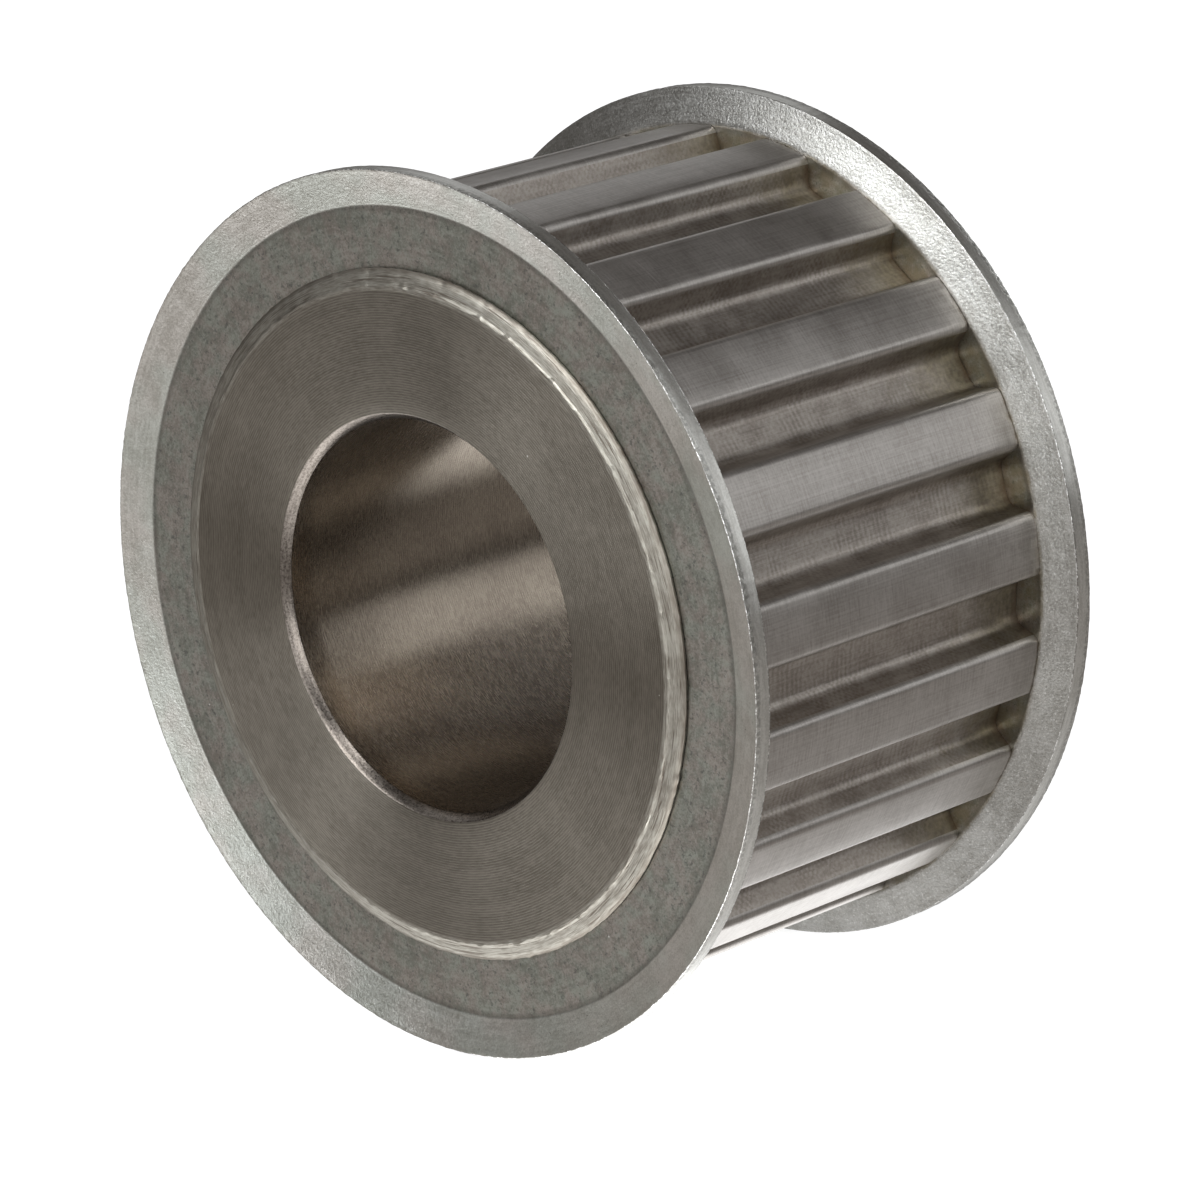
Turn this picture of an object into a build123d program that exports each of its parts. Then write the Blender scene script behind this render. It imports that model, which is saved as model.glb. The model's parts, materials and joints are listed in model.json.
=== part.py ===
from build123d import *
import os
from math import atan2, hypot, pi, radians, tan

# Timing belt pulley, H section (1/2 inch pitch), 20 grooves, for a 1-1/2 inch wide belt.
# A machined steel hub carries the teeth. A stamped steel flange sits on a turned seat at each
# end of it, and is held by a lip of the hub that is swaged outwards over the flange.
# Millimetres. The axis lies along Y, +Z is up, and the origin is the pulley's centre.
# The front is towards -Y. The two ends are alike, except that the bore opens towards the back.

# Teeth: the pitch, the count and the groove are those of the H section.
pitch = 12.7
groove_count = 20
pitch_line_height = 0.686
groove_depth = 3.05
groove_bottom_width = 4.19
groove_wall_angle = 20.0
groove_corner_radius = 1.4
tooth_corner_radius = 0.9
first_groove_angle = 0.6
tooth_face_width = 40.4

# Hub: seats and lips for the flanges.
hub_length = 46.4
seat_radius = 33.0
lip_radius = 33.7
lip_crest_radius = 31.8
lip_edge_top = 0.45
lip_edge_bottom = 0.75
lip_root_gap = 0.1

# Bore: tapered 3/4 inch per foot for a split taper bushing, which enters from the back.
bore_large_radius = 20.638
bore_taper = 0.03125
front_chamfer_radius = 19.87
front_chamfer_depth = 0.9
rear_chamfer = 0.4

# Two tapped holes for the bushing's screws, 1/4-20, on a 2 inch circle in the back face.
screw_circle_radius = 25.4
tap_drill_radius = 2.553
tapped_depth = 17.0
countersink = 0.7
drill_point_angle = 59.0

# Flanges: pressed from sheet, with a flat ring and a flared rim.
sheet_thickness = 1.9
rim_thickness = 1.84
flange_radius = 43.25
crease_radius = 39.56
overall_width = 46.72
crease_fillet = 0.4
outer_bend_radius = 1.8
rim_edge_radius = 0.1

tooth_radius = pitch * groove_count / (2 * pi) - pitch_line_height
root_radius = tooth_radius - groove_depth
half_face = tooth_face_width / 2
half_hub = hub_length / 2
half_width = overall_width / 2
clear = 2.0


def groove_outline(angle):
    """One groove, wider at its mouth, reaching past the teeth at this angle from +X."""
    mouth_radius = tooth_radius + clear
    half_bottom = groove_bottom_width / 2
    half_mouth = half_bottom + (mouth_radius - root_radius) * tan(radians(groove_wall_angle))
    outline = Polygon(
        (root_radius, -half_bottom),
        (mouth_radius, -half_mouth),
        (mouth_radius, half_mouth),
        (root_radius, half_bottom),
        align=None,
    )
    return Rot(0, 0, angle) * outline


def tooth_profile():
    """The toothed outline across the axis, with its corners rounded."""
    profile = Circle(tooth_radius)
    step = 360 / groove_count
    for i in range(groove_count):
        profile -= groove_outline(first_groove_angle + i * step)
    middle = (tooth_radius + root_radius) / 2
    tips = [v for v in profile.vertices() if hypot(v.X, v.Y) > middle]
    profile = fillet(tips, tooth_corner_radius)
    roots = [v for v in profile.vertices() if hypot(v.X, v.Y) < root_radius + 0.5]
    return fillet(roots, groove_corner_radius)


def seats_and_lips():
    """The turned middle of the hub: a seat for each flange, and the lip swaged over it."""
    right_side = [
        (seat_radius, half_face + sheet_thickness + lip_root_gap),
        (lip_radius, half_hub - lip_edge_bottom),
        (lip_radius - 0.1, half_hub - lip_edge_top),
        (lip_crest_radius, half_hub),
        (0, half_hub),
    ]
    left_side = [(radius, -along) for radius, along in reversed(right_side)]
    return revolve(Polygon(*left_side, *right_side, align=None), Axis.Y)


def bore_space():
    """The tapered bore with a chamfer at each mouth."""
    small_radius = bore_large_radius - bore_taper * (hub_length - front_chamfer_depth)
    large_radius = bore_large_radius - bore_taper * rear_chamfer
    section = Polygon(
        (0, -half_hub - clear),
        (front_chamfer_radius, -half_hub - clear),
        (front_chamfer_radius, -half_hub),
        (small_radius, -half_hub + front_chamfer_depth),
        (large_radius, half_hub - rear_chamfer),
        (bore_large_radius + rear_chamfer, half_hub),
        (bore_large_radius + rear_chamfer, half_hub + clear),
        (0, half_hub + clear),
        align=None,
    )
    return revolve(section, Axis.Y)


def tapped_hole(side):
    """One blind hole of the back face, at +X or -X, with a countersink and a drill point."""
    point_depth = tap_drill_radius / tan(radians(drill_point_angle))
    section = Polygon(
        (0, half_hub + clear),
        (tap_drill_radius + countersink, half_hub + clear),
        (tap_drill_radius + countersink, half_hub),
        (tap_drill_radius, half_hub - countersink),
        (tap_drill_radius, half_hub - tapped_depth),
        (0, half_hub - tapped_depth - point_depth),
        align=None,
    )
    return Pos(side * screw_circle_radius, 0, 0) * revolve(section, Axis.Y)


def toothed_hub():
    """The hub: teeth between the flanges, seats, lips, bore and screw holes."""
    teeth = extrude(Plane.XZ * tooth_profile(), amount=half_face, both=True)
    hub = teeth + seats_and_lips() - bore_space()
    for side in (-1, 1):
        hub -= tapped_hole(side)
    return hub


def flange(side):
    """One flange: side is -1 for the front and 1 for the back."""
    outer_face = half_face + sheet_thickness
    flare = atan2(half_width - outer_face, flange_radius - crease_radius)
    inner_crease = (crease_radius + sheet_thickness * tan(flare / 2), half_face)
    outer_crease = (crease_radius, outer_face)
    rim_inside = (flange_radius, half_width - rim_thickness)
    rim_outside = (flange_radius, half_width)
    section = Polygon(
        (seat_radius, half_face),
        inner_crease,
        rim_inside,
        rim_outside,
        outer_crease,
        (seat_radius, outer_face),
        align=None,
    )
    rounds = [
        (inner_crease, outer_bend_radius),
        (outer_crease, crease_fillet),
        (rim_inside, rim_edge_radius),
        (rim_outside, rim_edge_radius),
    ]
    for corner, radius in rounds:
        nearest = section.vertices().sort_by_distance(Vector(*corner))[0]
        section = fillet(nearest, radius)
    ring = revolve(section, Axis.Y)
    return ring if side > 0 else mirror(ring, Plane.XZ)


pieces = {
    "toothed_hub": toothed_hub(),
    "front_flange": flange(-1),
    "rear_flange": flange(1),
}
os.makedirs("parts", exist_ok=True)
for name, piece in pieces.items():
    export_step(piece, f"parts/{name}.step")
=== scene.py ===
import json
from math import cos, pi, radians, sin, tan

import bpy
import numpy as np
from mathutils import Matrix, Vector

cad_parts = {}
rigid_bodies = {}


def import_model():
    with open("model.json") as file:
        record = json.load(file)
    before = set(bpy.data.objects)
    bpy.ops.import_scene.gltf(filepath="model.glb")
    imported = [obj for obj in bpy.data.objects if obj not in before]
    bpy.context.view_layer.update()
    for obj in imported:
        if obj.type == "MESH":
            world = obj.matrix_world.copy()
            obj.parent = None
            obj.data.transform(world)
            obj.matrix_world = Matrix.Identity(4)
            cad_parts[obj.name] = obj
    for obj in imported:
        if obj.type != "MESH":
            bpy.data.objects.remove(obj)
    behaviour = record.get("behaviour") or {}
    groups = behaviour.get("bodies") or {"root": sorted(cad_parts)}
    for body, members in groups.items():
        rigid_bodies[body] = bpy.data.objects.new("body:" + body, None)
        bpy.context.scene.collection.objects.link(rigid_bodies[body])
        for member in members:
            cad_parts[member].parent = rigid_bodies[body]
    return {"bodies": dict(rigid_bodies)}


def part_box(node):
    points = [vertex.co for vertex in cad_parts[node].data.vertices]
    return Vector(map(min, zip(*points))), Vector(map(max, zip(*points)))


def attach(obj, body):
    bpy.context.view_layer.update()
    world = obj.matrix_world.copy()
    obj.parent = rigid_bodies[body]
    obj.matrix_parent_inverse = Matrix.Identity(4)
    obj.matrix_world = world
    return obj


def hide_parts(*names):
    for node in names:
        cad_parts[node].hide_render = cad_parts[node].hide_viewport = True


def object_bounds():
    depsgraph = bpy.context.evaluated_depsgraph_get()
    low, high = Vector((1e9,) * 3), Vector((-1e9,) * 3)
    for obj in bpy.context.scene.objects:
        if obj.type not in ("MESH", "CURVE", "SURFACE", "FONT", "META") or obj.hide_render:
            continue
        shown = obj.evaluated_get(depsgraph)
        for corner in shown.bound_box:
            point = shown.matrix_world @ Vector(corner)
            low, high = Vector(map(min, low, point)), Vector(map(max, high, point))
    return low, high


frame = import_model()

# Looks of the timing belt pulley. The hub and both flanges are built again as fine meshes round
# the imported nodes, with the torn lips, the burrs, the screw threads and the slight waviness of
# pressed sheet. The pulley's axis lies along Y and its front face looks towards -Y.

cad_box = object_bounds()
body = next(iter(frame["bodies"]))
mm = 0.001

# ---------------------------------------------------------------- sizes, in millimetres

flange_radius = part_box("rear_flange")[1].x / mm
half_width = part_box("rear_flange")[1].y / mm
half_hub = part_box("toothed_hub")[1].y / mm
half_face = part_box("rear_flange")[0].y / mm

tooth_pitch = 12.7
groove_count = 20
tooth_radius = tooth_pitch * groove_count / (2 * pi) - 0.686
root_radius = tooth_radius - 3.05
groove_bottom_width = 4.19
groove_wall_angle = radians(20.0)
root_fillet = 1.4
tip_fillet = 0.9
first_groove_angle = radians(0.6)
edge_break = 0.05

seat_radius = 33.0
lip_radius = 33.7
lip_crest_radius = 31.97
front_mouth_radius = 19.87
front_chamfer_depth = 0.9
bore_large_radius = 20.638
bore_taper = 0.03125
rear_chamfer = 0.4

screw_circle_radius = 25.4
screw_major_radius = 3.175
screw_minor_radius = 2.553
screw_pitch = 1.27
screw_depth = 17.0
countersink = 0.7

sheet_thickness = 1.9
rim_thickness = 1.84
crease_radius = 39.56


# ---------------------------------------------------------------- noise and mesh helpers

def waves(around, across, seed, lowest, highest, across_rate=0.0, terms=48):
    """Smooth noise of about unit size, with lowest to highest waves in a whole turn.

    around is the angle. across is a length in millimetres, and across_rate is how fast the
    noise changes along it, in radians per millimetre.
    """
    rng = np.random.default_rng(seed)
    turns = rng.integers(lowest, highest + 1, terms)
    phases = rng.uniform(0, 2 * pi, terms)
    rates = rng.normal(0, 1, terms) * across_rate
    total = np.zeros(np.broadcast(around, across).shape)
    for turn, phase, rate in zip(turns, phases, rates):
        total = total + np.cos(turn * around + rate * across + phase)
    return total * (2 / terms) ** 0.5


def rounded(corners, steps):
    """A path in the plane through (x, y, radius) corners, each one rounded by an arc."""
    path = [np.array(corners[0][:2], float)]
    for before, here, after in zip(corners, corners[1:], corners[2:]):
        corner = np.array(here[:2], float)
        into = corner - np.array(before[:2], float)
        out = np.array(after[:2], float) - corner
        into, out = into / np.linalg.norm(into), out / np.linalg.norm(out)
        if here[2] == 0:
            path.append(corner)
            continue
        turn = np.arccos(np.clip(into @ out, -1, 1))
        start = corner - into * here[2] * tan(turn / 2)
        side = out - into * (into @ out)
        side = side / np.linalg.norm(side)
        for i in range(steps + 1):
            a = turn * i / steps
            path.append(start + here[2] * (side * (1 - cos(a)) + into * sin(a)))
    path.append(np.array(corners[-1][:2], float))
    return path


def spaced(start, end, count):
    """Points from start up to, and not including, end."""
    return [start + (end - start) * i / count for i in range(count)]


def spun(name, angles, rings, surfaces):
    """A closed mesh of rings round the Y axis.

    Each ring is (surface, radius, along), where radius and along are numbers or hold one
    value for each angle. surface says which material lies between that ring and the next,
    as an index, or as one index for each angle. surfaces lists the materials.
    """
    count, around = len(rings), len(angles)
    points = np.zeros((count, around, 3))
    kinds = np.zeros((count, around), int)
    for i, (surface, radius, along) in enumerate(rings):
        points[i, :, 0] = radius * np.cos(angles)
        points[i, :, 1] = along
        points[i, :, 2] = radius * np.sin(angles)
        kinds[i] = surface
    here = np.arange(count * around).reshape(count, around)
    ahead = np.roll(here, -1, axis=0)
    quads = np.stack([here, ahead, np.roll(ahead, -1, axis=1), np.roll(here, -1, axis=1)], -1)
    return made(name, points.reshape(-1, 3), quads.reshape(-1, 4), kinds.reshape(-1), surfaces)


def made(name, points, faces, kinds, surfaces):
    """A mesh object from points in millimetres, facing outwards, with its materials."""
    mesh = bpy.data.meshes.new(name)
    mesh.from_pydata((np.asarray(points) * mm).tolist(), [], [list(map(int, f)) for f in faces])
    corners = np.array([vertex.co for vertex in mesh.vertices])
    mesh.calc_loop_triangles()
    tri = np.array([t.vertices[:] for t in mesh.loop_triangles])
    a, b, c = corners[tri[:, 0]], corners[tri[:, 1]], corners[tri[:, 2]]
    if np.einsum("ij,ij->i", a, np.cross(b, c)).sum() < 0:
        mesh.flip_normals()
    for surface in surfaces:
        mesh.materials.append(surface)
    mesh.polygons.foreach_set("material_index", np.asarray(kinds, np.int32))
    smoothed(mesh)
    piece = bpy.data.objects.new(name, mesh)
    bpy.context.scene.collection.objects.link(piece)
    return piece


def smoothed(mesh):
    """Smooth shading, with the edges sharper than 38 degrees left crisp."""
    mesh.polygons.foreach_set("use_smooth", np.ones(len(mesh.polygons), bool))
    mesh.set_sharp_from_angle(angle=radians(38))
    mesh.update()


# ---------------------------------------------------------------- material helpers

class Surface:
    """A node material for something round the Y axis, with its lengths in millimetres.

    place is the shaded point, along its place on the axis, radius its distance from the axis
    and round the direction away from the axis.
    """

    def __init__(self, name):
        self.material = bpy.data.materials.new(name)
        self.material.use_nodes = True
        self.tree = self.material.node_tree
        self.shader = self.tree.nodes["Principled BSDF"]
        self.shader.inputs["Metallic"].default_value = 1.0
        position = self.node("ShaderNodeTexCoord").outputs["Object"]
        self.place = self.vector("SCALE", position, scale=1 / mm)
        x, self.along, z = self.node("ShaderNodeSeparateXYZ", {0: self.place}).outputs
        flat = self.node("ShaderNodeCombineXYZ", {0: x, 1: z}).outputs[0]
        self.radius = self.vector("LENGTH", flat)
        self.round = self.vector("NORMALIZE", flat)

    def node(self, kind, inputs=None, **settings):
        """A new node, with each input linked to a socket or set to a value."""
        node = self.tree.nodes.new(kind)
        for key, value in settings.items():
            setattr(node, key, value)
        for key, value in (inputs or {}).items():
            if isinstance(value, bpy.types.NodeSocket):
                self.tree.links.new(value, node.inputs[key])
            else:
                node.inputs[key].default_value = value
        return node

    def vector(self, operation, first, second=(0, 0, 0), scale=1.0):
        node = self.node("ShaderNodeVectorMath", {0: first, 1: second}, operation=operation)
        node.inputs[3].default_value = scale
        return node.outputs["Value" if operation == "LENGTH" else "Vector"]

    def math(self, operation, first, second=0.0, third=0.0):
        node = self.node("ShaderNodeMath", {0: first, 1: second, 2: third}, operation=operation)
        return node.outputs[0]

    def step(self, value, low, high):
        """0 below low, 1 above high, and smooth between."""
        node = self.node(
            "ShaderNodeMapRange",
            {"Value": value, "From Min": low, "From Max": high},
            interpolation_type="SMOOTHSTEP",
        )
        return node.outputs["Result"]

    def spread(self, value, low, high):
        """A 0 to 1 value brought to the range from low to high."""
        node = self.node("ShaderNodeMapRange", {"Value": value, "To Min": low, "To Max": high})
        return node.outputs["Result"]

    def mixed(self, share, first, second):
        """A blend of two colours, each a socket or linear red, green and blue."""
        node = self.node("ShaderNodeMix", {"Factor": share}, data_type="RGBA")
        for key, value in ((6, first), (7, second)):
            if isinstance(value, bpy.types.NodeSocket):
                self.tree.links.new(value, node.inputs[key])
            else:
                node.inputs[key].default_value = (*value, 1.0)
        return node.outputs[2]

    def grain(self, size, detail=3.0, roughness=0.6, seed=0.0):
        """Even noise with lumps of this size."""
        at = self.vector("ADD", self.vector("SCALE", self.place, scale=1 / size), (seed, seed, 0))
        inputs = {"Vector": at, "Detail": detail, "Roughness": roughness, "Scale": 1.0}
        return self.node("ShaderNodeTexNoise", inputs).outputs["Fac"]

    def streaks(self, across, radius, length, width, detail=2.0, seed=0.0):
        """Noise drawn out round the axis: marks of this length and width, at about this radius."""
        turned = self.vector("SCALE", self.round, scale=radius / length)
        depth = self.math("MULTIPLY_ADD", across, 1 / width, seed)
        lift = self.node("ShaderNodeCombineXYZ", {2: depth}).outputs[0]
        at = self.vector("ADD", turned, lift)
        node = self.node("ShaderNodeTexNoise", {"Vector": at, "Detail": detail, "Scale": 1.0})
        return node.outputs["Fac"]

    def lengthwise(self, radius, width, length, detail=2.0, seed=0.0):
        """Noise drawn out along the axis: marks of this width and length, at about this radius."""
        return self.streaks(self.along, radius, width, length, detail, seed)

    def specks(self, spacing, size, seed=0.0):
        """Sparse dots of this size, in cells this far apart."""
        scaled = self.vector("SCALE", self.place, scale=1 / spacing)
        at = self.vector("ADD", scaled, (seed, 0, seed))
        cells = self.node("ShaderNodeTexVoronoi", {"Vector": at, "Scale": 1.0})
        dot = self.step(cells.outputs["Distance"], size / spacing, 0.6 * size / spacing)
        some = self.math("GREATER_THAN", self.grain(spacing, detail=0.0, seed=seed + 2), 0.5)
        return self.math("MULTIPLY", dot, some)

    def ridges(self, across, spacing, wander):
        """Saw-toothed tool marks from 0 to 1, this far apart, shifted by wander."""
        return self.math("FRACT", self.math("MULTIPLY_ADD", across, 1 / spacing, wander))

    def summed(self, parts):
        """The weighted sum of (weight, value) pairs."""
        total = None
        for weight, value in parts:
            total = self.math("MULTIPLY_ADD", value, weight, 0.0 if total is None else total)
        return total

    def relief(self, height, depth):
        """A bump whose height of 1 stands this many millimetres tall."""
        inputs = {"Height": height, "Distance": depth * mm, "Strength": 1.0}
        return self.node("ShaderNodeBump", inputs).outputs["Normal"]

    def brushed(self, amount, rotation=0.0):
        """Stretches reflections across marks that run round the axis."""
        tangent = self.node("ShaderNodeTangent", direction_type="RADIAL", axis="Y")
        self.tree.links.new(tangent.outputs[0], self.shader.inputs["Tangent"])
        self.shader.inputs["Anisotropic"].default_value = amount
        self.shader.inputs["Anisotropic Rotation"].default_value = rotation

    def finish(self, colour, roughness, normal):
        """Joins these to the shader, and returns the material."""
        for key, value in (("Base Color", colour), ("Roughness", roughness), ("Normal", normal)):
            self.tree.links.new(value, self.shader.inputs[key])
        return self.material


# ---------------------------------------------------------------- materials

# In each one, height is the relief and tint moves the metal's colour from its dark shade to its
# light one. Both are weighted sums of the marks above them.

def face_steel():
    """The hub's end faces: turned, with fine rings a quarter of a millimetre apart."""
    s = Surface("hub_turned_face")
    drift = s.math("MULTIPLY", s.streaks(s.radius, 26, 60, 4.0, detail=1.0), 0.4)
    rings = s.ridges(s.radius, 0.25, drift)
    grain = s.streaks(s.radius, 26, 0.9, 0.17, detail=3.0, seed=9)
    tracks = s.streaks(s.radius, 26, 45, 0.9, detail=3.0, seed=4)
    clouds = s.grain(6.0, detail=3.0)
    dots = s.specks(4.0, 0.11, seed=3)
    height = s.summed([(1.1, rings), (0.7, grain), (0.3, tracks), (0.8, dots)])
    tint = s.summed([(0.24, rings), (0.38, grain), (0.14, tracks), (0.24, clouds)])
    metal = s.mixed(s.step(tint, 0.34, 0.66), (0.166, 0.148, 0.122), (0.287, 0.262, 0.222))
    colour = s.mixed(dots, metal, (0.6, 0.58, 0.54))
    s.brushed(0.9, 0.25)
    return s.finish(colour, s.spread(grain, 0.27, 0.43), s.relief(height, 0.010))


def lip_steel():
    """The swaged lips: rolled over the flanges, with fine cracks running round."""
    s = Surface("hub_rolled_lip")
    fibres = s.streaks(s.radius, 33, 1.1, 0.10, detail=4.0)
    cracks = s.streaks(s.radius, 33, 5.0, 0.15, detail=3.0, seed=3)
    split = s.step(cracks, 0.41, 0.36)
    patches = s.grain(2.5, detail=4.0, seed=6)
    # edge is the lip's outer rim by the flange; it is darkened below as painted shade of the gap
    # there.
    edge = s.step(s.radius, lip_radius - 0.50, lip_radius - 0.10)
    height = s.summed([(0.5, fibres), (0.9, cracks), (-0.5, split)])
    tint = s.summed([(0.5, fibres), (0.2, cracks), (0.3, patches)])
    metal = s.mixed(s.step(tint, 0.38, 0.62), (0.235, 0.213, 0.180), (0.400, 0.380, 0.332))
    # Darkened by the real cracks, and by painted shade along the outer edge.
    cracks_and_painted_gap_shade = s.math("MAXIMUM", s.math("MULTIPLY", split, 0.6), s.math("MULTIPLY", edge, 0.5))
    colour = s.mixed(cracks_and_painted_gap_shade, metal, (0.11, 0.085, 0.065))
    return s.finish(colour, s.spread(patches, 0.34, 0.48), s.relief(height, 0.014))


def seam_grime_and_painted_shade(s, width):
    """The share of grime and painted shade where the teeth meet a flange, fading over this width.
    """
    ragged = s.spread(s.grain(0.9, detail=3.0, seed=21), -0.7, 0.5)
    reach = s.math("ADD", s.math("ABSOLUTE", s.along), ragged)
    return s.math("MULTIPLY", s.step(reach, half_face - width, half_face + 0.1), 0.75)


def land_steel():
    """The tooth tops: turned, then lightly scored along the axis."""
    s = Surface("hub_tooth_land")
    turned = s.streaks(s.along, 39.7, 2.6, 0.15, detail=3.0)
    patchy = s.step(s.grain(4.5, detail=2.0, seed=9), 0.38, 0.62)
    wander = s.streaks(s.along, 39.7, 20, 2.0, seed=2)
    lines = s.math("MULTIPLY", s.ridges(s.along, 0.42, wander), patchy)
    scored = s.lengthwise(39.7, 0.16, 14.0, detail=3.0, seed=6)
    patches = s.grain(5.0, detail=4.0)
    grain = s.grain(0.3, detail=2.0, seed=4)
    height = s.summed([(0.6, turned), (0.2, lines), (0.55, scored)])
    tint = s.summed([(0.26, patches), (0.25, scored), (0.25, turned), (0.05, lines), (0.19, grain)])
    colour = s.mixed(s.step(tint, 0.34, 0.62), (0.334, 0.307, 0.281), (0.500, 0.471, 0.443))
    # Grime and painted shade in the corner where the tooth tops meet a flange.
    colour = s.mixed(seam_grime_and_painted_shade(s, 0.4), colour, (0.13, 0.085, 0.055))
    return s.finish(colour, s.spread(patches, 0.30, 0.46), s.relief(height, 0.012))


def groove_steel():
    """The tooth spaces: hobbed in small scallops, with oil gathered towards the back flange."""
    s = Surface("hub_groove")
    row = s.math("MULTIPLY", s.radius, 1 / 0.45)
    drift = s.streaks(s.along, 38, 6, 2.5, detail=2.0, seed=1)
    stagger = s.math("MULTIPLY", s.math("FLOOR", row), 0.5)
    feed = s.ridges(s.along, 0.62, s.math("ADD", stagger, drift))
    scallop = s.math("ABSOLUTE", s.math("MULTIPLY_ADD", feed, 2.0, -1.0))
    scored = s.lengthwise(38, 0.14, 7.0, detail=3.0, seed=5)
    grain = s.grain(0.35, detail=3.0, seed=7)
    patches = s.grain(3.0, detail=4.0, seed=7)
    worn = s.spread(s.step(s.grain(3.5, detail=2.0, seed=11), 0.42, 0.62), 0.15, 1.0)
    dimple = s.math("MULTIPLY", s.math("SUBTRACT", scallop, 0.5), worn)
    height = s.summed([(0.45, dimple), (0.5, scored), (0.4, grain)])
    tint = s.summed([(0.12, dimple), (0.24, scored), (0.36, grain), (0.36, patches), (0.02, 1.0)])
    metal = s.mixed(s.step(tint, 0.34, 0.64), (0.260, 0.227, 0.198), (0.442, 0.403, 0.364))
    oiled = s.math("ADD", s.along, s.spread(s.grain(2.2, detail=4.0, seed=3), -8.0, 8.0))
    oil_grain = s.step(s.grain(0.6, detail=4.0), 0.35, 0.65)
    stain = s.mixed(oil_grain, (0.27, 0.235, 0.155), (0.15, 0.12, 0.08))
    colour = s.mixed(s.math("MULTIPLY", s.step(oiled, 9.0, 21.0), 0.65), metal, stain)
    # Grime and painted shade in the corner where the grooves meet a flange.
    colour = s.mixed(seam_grime_and_painted_shade(s, 1.6), colour, (0.13, 0.085, 0.055))
    return s.finish(colour, s.spread(patches, 0.30, 0.50), s.relief(height, 0.016))


def bore_steel():
    """The bore: bored with a fine feed, and darker with oil."""
    s = Surface("hub_bore")
    feed = s.ridges(s.along, 0.30, s.streaks(s.along, 20, 30, 2.0))
    grain = s.streaks(s.along, 20, 0.8, 0.17, detail=3.0, seed=2)
    tracks = s.streaks(s.along, 20, 50, 0.6, seed=8)
    patches = s.grain(6.0, detail=3.0, seed=2)
    height = s.summed([(0.3, feed), (1.0, grain), (0.3, tracks)])
    tint = s.summed([(0.14, feed), (0.46, grain), (0.22, patches), (0.09, 1.0)])
    colour = s.mixed(s.step(tint, 0.34, 0.64), (0.215, 0.176, 0.144), (0.385, 0.333, 0.268))
    s.brushed(0.5, 0.25)
    return s.finish(colour, s.spread(grain, 0.21, 0.33), s.relief(height, 0.0065))


def cut_edge_steel():
    """Chamfers, seats and threads: plain cuts."""
    s = Surface("hub_plain_cut")
    marks = s.streaks(s.along, 20, 1.2, 0.12, detail=3.0)
    pits = s.grain(0.22, detail=3.0)
    height = s.summed([(0.5, marks), (0.7, pits)])
    tint = s.summed([(0.4, marks), (0.6, pits)])
    colour = s.mixed(s.step(tint, 0.38, 0.62), (0.120, 0.103, 0.088), (0.240, 0.210, 0.184))
    return s.finish(colour, s.spread(pits, 0.20, 0.38), s.relief(height, 0.018))


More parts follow.
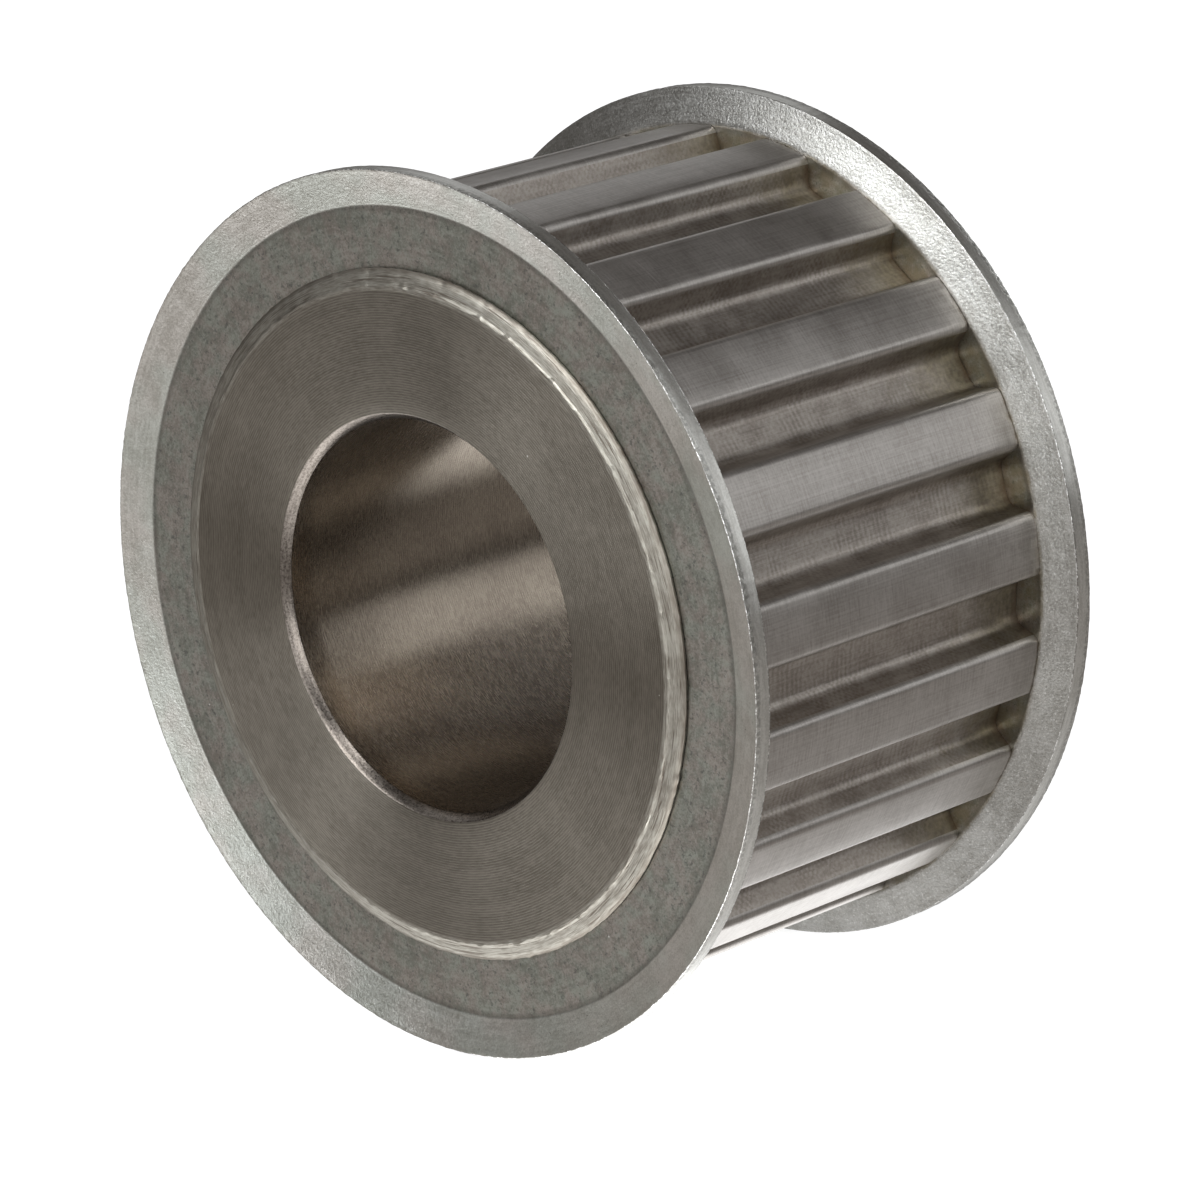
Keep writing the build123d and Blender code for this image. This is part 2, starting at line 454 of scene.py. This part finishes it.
def plated_sheet():
    """The flanges: pressed sheet with a dull plating, burnished where the rim was drawn out."""
    s = Surface("flange_plated_sheet")
    mottle = s.grain(1.1, detail=6.0, roughness=0.7)
    clouds = s.grain(5.0, detail=3.0, seed=4)
    blots = s.grain(0.42, detail=4.0, seed=5)
    drawn = s.streaks(s.radius, 37, 5, 0.35, detail=3.0, seed=3)
    grit = s.grain(0.20, detail=3.0, seed=8)
    dots = s.specks(4.0, 0.12, seed=1)
    rim = s.step(s.radius, crease_radius - 0.1, crease_radius + 0.25)
    rolled = s.math("MULTIPLY", grit, s.spread(rim, 0.8, 1.8))
    crinkled = s.math("MULTIPLY", s.grain(0.33, detail=2.0, roughness=0.5, seed=17), rim)
    height = s.summed([(0.4, mottle), (0.3, blots), (0.8, rolled), (1.5, crinkled), (0.8, dots)])
    tint = s.summed([(0.30, mottle), (0.20, clouds), (0.15, drawn), (0.35, grit)])
    hues = s.step(s.grain(1.9, detail=4.0, seed=15), 0.36, 0.64)
    hue = s.mixed(hues, (0.955, 1.0, 0.985), (1.05, 0.985, 0.99))
    grey = s.mixed(s.step(tint, 0.40, 0.60), (0.252, 0.246, 0.216), (0.405, 0.399, 0.360))
    flat = s.vector("MULTIPLY", grey, hue)
    stained = s.mixed(s.math("MULTIPLY", s.step(blots, 0.57, 0.68), 0.6), flat, (0.12, 0.125, 0.12))
    worn = s.step(tint, 0.38, 0.62)
    out = s.math("ABSOLUTE", s.along)
    belt_side = s.step(out, half_face + 1.75, half_face + 1.55)
    blushes = s.step(s.grain(9.0, detail=2.0, seed=23), 0.40, 0.60)
    blush = s.mixed(blushes, (0.975, 1.0, 0.985), (1.03, 0.992, 0.985))
    flare = s.mixed(worn, (0.513, 0.507, 0.463), (0.710, 0.708, 0.667))
    drawn_out = s.vector("MULTIPLY", flare, blush)
    # The belt side of the flare is a darker copy of it: partly its finer grain, partly painted
    # shade from the teeth.
    belt_side_grain_and_painted_shade = s.mixed(worn, (0.350, 0.338, 0.310), (0.560, 0.552, 0.525))
    # Light flecks on the belt side are painted glints.
    painted_glints = s.step(s.grain(0.26, detail=2.0, seed=19), 0.58, 0.68)
    belt_side_grain_and_painted_shade = s.mixed(s.math("MULTIPLY", painted_glints, 0.5), belt_side_grain_and_painted_shade, (0.80, 0.795, 0.77))
    metal = s.mixed(rim, stained, s.mixed(belt_side, drawn_out, belt_side_grain_and_painted_shade))
    # Yellowish-brown patches on the flange's inner face in the grooves: partly oil, partly painted
    # shade of the recess.
    inside = s.step(out, half_face + 0.06, half_face + 0.01)
    oil_and_painted_shade = s.math("MULTIPLY", inside, s.step(s.grain(1.6, detail=4.0, seed=12), 0.36, 0.62))
    metal = s.mixed(s.math("MULTIPLY", oil_and_painted_shade, 0.6), metal, (0.23, 0.20, 0.13))
    # A dark band along the inside of the crease is painted shade.
    before_crease = s.step(s.radius, crease_radius - 0.7, crease_radius - 0.1)
    painted_crease_shade = s.math("MULTIPLY", before_crease, s.step(s.radius, crease_radius + 0.2, crease_radius))
    metal = s.mixed(s.math("MULTIPLY", painted_crease_shade, 0.4), metal, (0.15, 0.143, 0.13))
    colour = s.mixed(dots, metal, (0.7, 0.69, 0.66))
    rough = s.summed([(0.20, grit), (0.08, drawn), (-0.05, rim), (0.24, 1.0)])
    return s.finish(colour, rough, s.relief(height, 0.016))


def sheared_edge():
    """The flanges' rims: sheared, with a burr at the corners, partly light bare metal and partly
    painted glints, and a chipped band by it.
    """
    s = Surface("flange_sheared_rim")
    worn = s.streaks(s.along, 43, 3.0, 0.3, detail=3.0)
    grit = s.grain(0.20, detail=3.0)
    out = s.math("ABSOLUTE", s.along)
    outer = s.step(out, half_width - 0.12, half_width - 0.04)
    inner = s.step(out, half_width - rim_thickness + 0.14, half_width - rim_thickness + 0.05)
    burr = s.math("MAXIMUM", outer, inner)
    height = s.summed([(0.3, worn), (0.6, grit)])
    tint = s.summed([(0.5, worn), (0.5, grit)])
    plain = s.mixed(s.step(tint, 0.38, 0.62), (0.525, 0.512, 0.475), (0.675, 0.663, 0.625))
    stretches = s.step(s.grain(0.9, detail=3.0, seed=3), 0.38, 0.56)
    # Near-white bits along the burr: partly bare sheared metal, partly painted glints.
    bare_bits_and_painted_glints = s.math("MULTIPLY", s.step(grit, 0.42, 0.56), stretches)
    torn = s.mixed(bare_bits_and_painted_glints, (0.30, 0.29, 0.265), (0.92, 0.91, 0.88))
    chips = s.step(s.grain(0.36, detail=3.0, seed=6), 0.45, 0.53)
    broken = s.math("MULTIPLY", s.step(out, half_width - 0.80, half_width - 0.40), chips)
    plain = s.mixed(s.math("MULTIPLY", broken, 0.45), plain, (0.20, 0.195, 0.180))
    height = s.math("MULTIPLY_ADD", broken, -0.7, height)
    return s.finish(s.mixed(burr, plain, torn), s.spread(grit, 0.24, 0.40), s.relief(height, 0.012))


# ---------------------------------------------------------------- the hub

FACE, LIP, LAND, GROOVE, BORE, CUT = range(6)


def tooth_outline():
    """(angles, radii, surfaces) of the toothed outline, once round."""
    half_bottom = groove_bottom_width / 2
    mouth = half_bottom + (tooth_radius - root_radius) * tan(groove_wall_angle)
    step = 2 * pi / groove_count
    land_edge = (tooth_radius * cos(mouth / tooth_radius), tooth_radius * sin(mouth / tooth_radius))
    corners = [
        (root_radius, 0, 0),
        (root_radius, half_bottom, root_fillet),
        (*land_edge, tip_fillet),
        (tooth_radius * cos(step / 2), tooth_radius * sin(step / 2), 0),
    ]
    path = rounded(corners, 6)
    dense = [path[0]]
    for before, after in zip(path, path[1:]):
        parts = max(1, round(np.linalg.norm(after - before) / 0.75))
        dense += spaced(before, after, parts)[1:] + [after]
    angle = np.array([np.arctan2(p[1], p[0]) for p in dense])
    radius = np.array([min(np.hypot(*p), tooth_radius) for p in dense])
    top_start = mouth / tooth_radius - 0.2 * tip_fillet / tooth_radius
    radius = np.where(angle > (mouth + tip_fillet) / tooth_radius, tooth_radius, radius)
    one_angle = np.concatenate([-angle[:0:-1], angle[:-1]])
    one_radius = np.concatenate([radius[:0:-1], radius[:-1]])
    angles, radii = [], []
    for i in range(groove_count):
        angles.append(one_angle + first_groove_angle + i * step)
        radii.append(one_radius)
    middle = np.concatenate([(one_angle + np.roll(one_angle, -1)) / 2] * groove_count)
    surfaces = np.where(np.abs(middle) > top_start, LAND, GROOVE)
    surfaces[len(one_angle) - 1 :: len(one_angle)] = LAND
    return np.concatenate(angles), np.concatenate(radii), surfaces


def lip_rings(angles, side, seed):
    """The swaged lip, from its root under the flange's edge over to the hub's face.

    Each point of its profile is (radius, along, how ragged, how rough).
    """
    outer_face = half_face + sheet_thickness
    path = [
        (seat_radius, outer_face + 0.03, 0.0, 0.0),
        (seat_radius + 0.35, outer_face + 0.04, 0.0, 0.0),
        (lip_radius - 0.06, outer_face + 0.08, 0.04, 0.01),
        (lip_radius, half_hub - 0.76, 0.04, 0.01),
        (lip_radius - 0.16, half_hub - 0.60, 0.04, 0.02),
        (lip_radius - 0.42, half_hub - 0.46, 0.03, 0.02),
        (lip_radius - 0.70, half_hub - 0.36, 0.03, 0.018),
        (lip_radius - 0.98, half_hub - 0.28, 0.03, 0.018),
        (lip_radius - 1.24, half_hub - 0.20, 0.03, 0.016),
        (lip_radius - 1.48, half_hub - 0.14, 0.03, 0.016),
        (lip_crest_radius + 0.14, half_hub - 0.03, 0.08, 0.035),
        (lip_crest_radius, half_hub, 0.09, 0.0),
    ]
    rings = []
    for radius, along, ragged, rough in path:
        torn = waves(angles, radius, seed, 20, 160, 1.5, 90)
        fibre = waves(angles, radius, seed + 1, 6, 50, 5.0, 90)
        rings.append((LIP, radius + ragged * torn * 0.5, side * (along + rough * fibre * 0.35)))
    return rings


def hub_end(angles, outline, side, seed):
    """From the teeth's end face over the seat, the lip and the turned face to the chamfer."""
    rings = [
        (CUT, outline - edge_break, side * half_face),
        (CUT, (outline + seat_radius) / 2, side * half_face),
        (CUT, seat_radius, side * half_face),
    ]
    rings += lip_rings(angles, side, seed)
    mouth = front_mouth_radius if side < 0 else bore_large_radius + rear_chamfer
    turned = np.linspace(lip_crest_radius - 0.3, mouth + 0.12, 9)
    rings += [(FACE, radius, side * half_hub) for radius in turned]
    rings.append((CUT, mouth + 0.05, side * (half_hub - 0.015)))
    rings.append((CUT, mouth - 0.02, side * (half_hub - 0.06)))
    return rings


def bore_rings():
    """The tapered bore from front to back, with its chamfers' lower edges."""
    def radius(along):
        return bore_large_radius - bore_taper * (half_hub - along)

    start, end = front_chamfer_depth - half_hub, half_hub - rear_chamfer
    rings = [(CUT, radius(start) + 0.03, start - 0.05)]
    rings += [(BORE, radius(y), y) for y in np.linspace(start + 0.03, end - 0.03, 16)]
    return rings + [(CUT, radius(end) + 0.02, end + 0.03)]


def screw_hole(side, surfaces):
    """The space of one tapped hole, as a closed mesh to cut from the hub."""
    around, per_turn = 60, 10
    angles = np.arange(around) * 2 * pi / around
    mouth = screw_minor_radius + countersink + 0.35

    def ring(radius, y):
        return np.stack([radius * np.cos(angles), np.full(around, y), radius * np.sin(angles)], 1)

    bottom = half_hub - screw_depth
    rings = [ring(mouth, half_hub + 0.6), ring(mouth, half_hub + 0.01)]
    for y in np.linspace(half_hub - 0.05, bottom + 1.5, int(screw_depth / screw_pitch * per_turn)):
        turn = (y / screw_pitch - angles / (2 * pi)) % 1.0
        crest = np.clip(1.25 - 2.9 * np.abs(turn - 0.5), 0, 1)
        thread = screw_minor_radius + (screw_major_radius - screw_minor_radius) * crest
        rings.append(ring(np.maximum(thread, mouth - (half_hub - y)), y))
    rings += [ring(screw_minor_radius, bottom), ring(0.25, bottom - 1.4)]
    points = np.concatenate(rings) + (side * screw_circle_radius, 0, 0)
    here = np.arange(len(points)).reshape(len(rings), around)
    beside = np.roll(here, -1, axis=1)
    quads = np.stack([here[:-1], here[1:], beside[1:], beside[:-1]], -1).reshape(-1, 4)
    faces = quads.tolist() + [here[0].tolist(), here[-1][::-1].tolist()]
    return made(f"screw_hole_{side}", points, faces, [CUT] * len(faces), surfaces)


def hub():
    """The hub, with its teeth, lips, bore and tapped holes."""
    surfaces = [face_steel(), lip_steel(), land_steel()]
    surfaces += [groove_steel(), bore_steel(), cut_edge_steel()]
    angles, outline, kinds = tooth_outline()
    front = hub_end(angles, outline, -1, 11)
    back = hub_end(angles, outline, 1, 23)
    reach = half_face - edge_break
    stations = np.linspace(reach, -reach, 32)
    drift, chatter = 0.006, 0.004
    shift = drift * waves(angles, 0, 5, 3, 60)
    teeth = [(kinds, outline - edge_break, half_face)]
    for y in stations:
        teeth.append((kinds, outline + shift + chatter * waves(angles, y, 6, 5, 90, 0.5), y))
    # The back end's rings run the other way here, so each takes the surface of the one after it.
    back = back[:0:-1]
    following = back[1:] + teeth[:1]
    back = [(after[0], *ring[1:]) for ring, after in zip(back, following)]
    piece = spun("toothed_hub_steel", angles, front + bore_rings() + back + teeth, surfaces)
    for side in (-1, 1):
        hole = screw_hole(side, surfaces)
        cut = piece.modifiers.new("tapped_hole", "BOOLEAN")
        cut.operation = "DIFFERENCE"
        cut.object = hole
        cut.solver = "EXACT"
        cut.material_mode = "TRANSFER"
        with bpy.context.temp_override(object=piece, active_object=piece):
            bpy.ops.object.modifier_apply(modifier=cut.name)
        bpy.data.objects.remove(hole)
    smoothed(piece.data)
    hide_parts("toothed_hub")
    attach(piece, body)
    return piece


# ---------------------------------------------------------------- the flanges

SHEET, EDGE = range(2)


def flange(node, side, seed, surfaces):
    """One pressed flange: a flat ring, a bend, a flared rim and a burr round its outer edge."""
    around = 900
    angles = np.arange(around) * 2 * pi / around
    outer_face = half_face + sheet_thickness
    slope = (half_width - outer_face) / (flange_radius - crease_radius)
    inner_crease = crease_radius + sheet_thickness * tan(np.arctan(slope) / 2)
    rim_inside = half_width - rim_thickness
    corners = [
        (seat_radius, (half_face + outer_face) / 2, 0),
        (seat_radius, half_face, 0.12),
        (inner_crease, half_face, 1.8),
        (flange_radius - 0.3, rim_inside - 0.3 * slope, 0),
        (flange_radius, rim_inside, 0.07),
        (flange_radius, half_width, 0.07),
        (flange_radius - 0.3, half_width - 0.3 * slope, 0),
        (crease_radius, outer_face, 0.9),
        (seat_radius, outer_face, 0.12),
        (seat_radius, (half_face + outer_face) / 2, 0),
    ]
    path = rounded(corners, 5)
    dense = []
    for before, after in zip(path, path[1:]):
        parts = max(1, round(np.linalg.norm(after - before) / 0.9))
        dense += spaced(before, after, parts)
    warp = waves(angles, 0, seed, 2, 6, terms=8) * 0.02
    swell = waves(angles, 0, seed + 1, 2, 9, terms=10) * 0.02
    ragged = waves(angles, 0, seed + 2, 40, 300, terms=80)
    burr = np.clip(0.5 + 0.5 * waves(angles, 0, seed + 3, 10, 420, terms=120), 0, 1.6)
    corner = flange_radius - 0.15
    rings = []
    for (radius, along), (next_radius, _) in zip(dense, dense[1:] + dense[:1]):
        share = (radius - seat_radius) / (flange_radius - seat_radius)
        out = radius + share * swell
        lift = along + share * warp
        if radius > corner and along > half_width - 0.12:
            lift = lift + 0.03 * burr
            out = out + 0.012 * ragged
        if radius > corner and along < rim_inside + 0.12:
            lift = lift - 0.012 * burr
            out = out + 0.005 * ragged
        surface = EDGE if (radius + next_radius) / 2 > flange_radius - 0.1 else SHEET
        rings.append((surface, out, side * lift))
    piece = spun(node + "_sheet", angles, rings, surfaces)
    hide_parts(node)
    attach(piece, body)
    return piece


# ---------------------------------------------------------------- camera, floor and lights

def camera():
    """A long lens, from the front right and a little above."""
    azimuth, elevation, roll = radians(44.29), radians(19.17), radians(0.35)
    back = Vector((sin(azimuth) * cos(elevation), -cos(azimuth) * cos(elevation), sin(elevation)))
    level = Vector((cos(azimuth), sin(azimuth), 0))
    upright = back.cross(level)
    right = level * cos(roll) + upright * sin(roll)
    up = upright * cos(roll) - level * sin(roll)
    data = bpy.data.cameras.new("camera")
    data.lens = 176.33
    data.sensor_width = 36.0
    data.clip_start, data.clip_end = 0.01, 50.0
    eye = bpy.data.objects.new("camera", data)
    axes = Matrix((right, up, back)).transposed().to_4x4()
    away, aside, below = 572.17 * mm, 0.56 * mm, 3.56 * mm
    place = back * away + right * aside - up * below
    eye.matrix_world = Matrix.Translation(place) @ axes
    bpy.context.scene.collection.objects.link(eye)
    bpy.context.scene.camera = eye


def soft_light(name, place, facing, size, radiance):
    """A rectangular and slightly cool area light at this place, which shines along facing.

    place and size are in metres.
    """
    data = bpy.data.lights.new(name, "AREA")
    data.shape = "RECTANGLE"
    data.size, data.size_y = size
    data.color = (0.972, 1.0, 1.027)
    data.energy = radiance * pi * size[0] * size[1]
    lamp = bpy.data.objects.new(name, data)
    turn = (-Vector(facing)).to_track_quat("Z", "Y").to_matrix().to_4x4()
    lamp.matrix_world = Matrix.Translation(place) @ turn
    lamp.visible_camera = False
    bpy.context.scene.collection.objects.link(lamp)
    return lamp


def studio_lights():
    """Soft boxes a metre away in these directions, facing the pulley."""
    boxes = {
        "front_top_box": ((0.02, -0.78, 0.62), 5.5),
        "front_left_top_box": ((-0.30, -0.80, 0.52), 5.5),
        "front_low_box": ((-0.16, -0.985, -0.06), 2.6),
        "front_right_box": ((0.35, -0.92, 0.20), 3.0),
        "right_front_box": ((0.80, -0.55, 0.25), 4.3),
        "right_top_box": ((0.80, -0.25, 0.55), 2.2),
        "top_right_box": ((0.70, -0.05, 0.71), 2.1),
        "top_right_back_box": ((0.60, 0.40, 0.70), 1.0),
        "back_right_box": ((0.60, 0.74, 0.30), 1.1),
        "back_box": ((-0.10, 0.97, 0.20), 4.8),
        "back_left_box": ((-0.66, 0.60, 0.44), 0.55),
        "left_top_box": ((-0.80, -0.20, 0.57), 0.6),
    }
    for name, (direction, radiance) in boxes.items():
        place = Vector(direction).normalized()
        soft_light(name, place, -place, (0.42, 0.42), radiance)
    overhead = Vector((0.16, -0.33, 0.93))
    soft_light("overhead_box", overhead, -overhead, (0.28, 0.28), 7.0)


def table_panel(name, place, size, radiance, lift=0.6 * mm):
    """A lit panel just over the table top."""
    panel = soft_light(name, (*place, cad_box[0].z + lift), (0, 0, 1), size, radiance)
    panel.data.spread = radians(120)
    return panel


def table_lights(front_pieces):
    """Lit panels in the table top round the pulley.

    The panel under the teeth lies over the middle one, and lights only the front pieces.
    """
    panels = {
        "table_front_left": ((-0.08, -0.0475), (0.08, 0.055), 1.3),
        "table_front": ((0.0, -0.07), (0.08, 0.10), 1.37),
        "table_front_right": ((0.08, -0.07), (0.08, 0.10), 3.0),
        "table_left": ((-0.08, 0.03), (0.08, 0.10), 0.82),
        "table_middle": ((0.0, 0.03), (0.08, 0.10), 0.47),
        "table_right": ((0.08, 0.03), (0.08, 0.10), 0.32),
        "table_back": ((0.045, 0.18), (0.13, 0.20), 1.24),
    }
    for name, (place, size, radiance) in panels.items():
        table_panel(name, place, size, radiance)
    teeth = table_panel("table_teeth", (-0.004, 0.03), (0.072, 0.10), 1.2, lift=1.0 * mm)
    teeth.light_linking.receiver_collection = bpy.data.collections.new("front_pieces")
    for piece in front_pieces:
        teeth.light_linking.receiver_collection.objects.link(piece)


def seen_white(tree, dim, bright, out):
    """Joins two shaders: bright to the eye, and dim in reflections and bounced light."""
    path = tree.nodes.new("ShaderNodeLightPath")
    mix = tree.nodes.new("ShaderNodeMixShader")
    tree.links.new(path.outputs["Is Camera Ray"], mix.inputs[0])
    tree.links.new(dim.outputs[0], mix.inputs[1])
    tree.links.new(bright.outputs[0], mix.inputs[2])
    tree.links.new(mix.outputs[0], out.inputs["Surface"])


def floor():
    """A wide pale floor under the flanges' rims."""
    reach, low = 6.0, cad_box[0].z
    corners = [(-reach, -reach, low), (reach, -reach, low)]
    corners += [(reach, reach, low), (-reach, reach, low)]
    mesh = bpy.data.meshes.new("floor")
    mesh.from_pydata(corners, [], [(0, 1, 2, 3)])
    paint = bpy.data.materials.new("floor_paint")
    paint.use_nodes = True
    tree = paint.node_tree
    tree.nodes.remove(tree.nodes["Principled BSDF"])
    dim = tree.nodes.new("ShaderNodeBsdfDiffuse")
    dim.inputs["Color"].default_value = (0.37, 0.345, 0.325, 1)
    pale = tree.nodes.new("ShaderNodeBsdfDiffuse")
    pale.inputs["Color"].default_value = (0.26, 0.26, 0.26, 1)
    glow = tree.nodes.new("ShaderNodeEmission")
    glow.inputs["Strength"].default_value = 0.92
    bright = tree.nodes.new("ShaderNodeAddShader")
    tree.links.new(pale.outputs[0], bright.inputs[0])
    tree.links.new(glow.outputs[0], bright.inputs[1])
    seen_white(tree, dim, bright, tree.nodes["Material Output"])
    mesh.materials.append(paint)
    ground = bpy.data.objects.new("floor", mesh)
    bpy.context.scene.collection.objects.link(ground)


def sky():
    """Plain studio surroundings: white to the eye, and dim on the metal."""
    world = bpy.data.worlds.new("studio")
    world.use_nodes = True
    tree = world.node_tree
    dim = tree.nodes["Background"]
    dim.inputs["Color"].default_value = (1.0, 0.925, 0.87, 1)
    dim.inputs["Strength"].default_value = 0.089
    bright = tree.nodes.new("ShaderNodeBackground")
    bright.inputs["Color"].default_value = (1, 1, 1, 1)
    bright.inputs["Strength"].default_value = 1.0
    seen_white(tree, dim, bright, tree.nodes["World Output"])
    bpy.context.scene.world = world


camera()
floor()
sky()
studio_lights()
bpy.context.scene.view_settings.view_transform = "Standard"

toothed_hub = hub()
sheet_surfaces = [plated_sheet(), sheared_edge()]
front_flange = flange("front_flange", -1, 41, sheet_surfaces)
flange("rear_flange", 1, 57, sheet_surfaces)
table_lights([toothed_hub, front_flange])
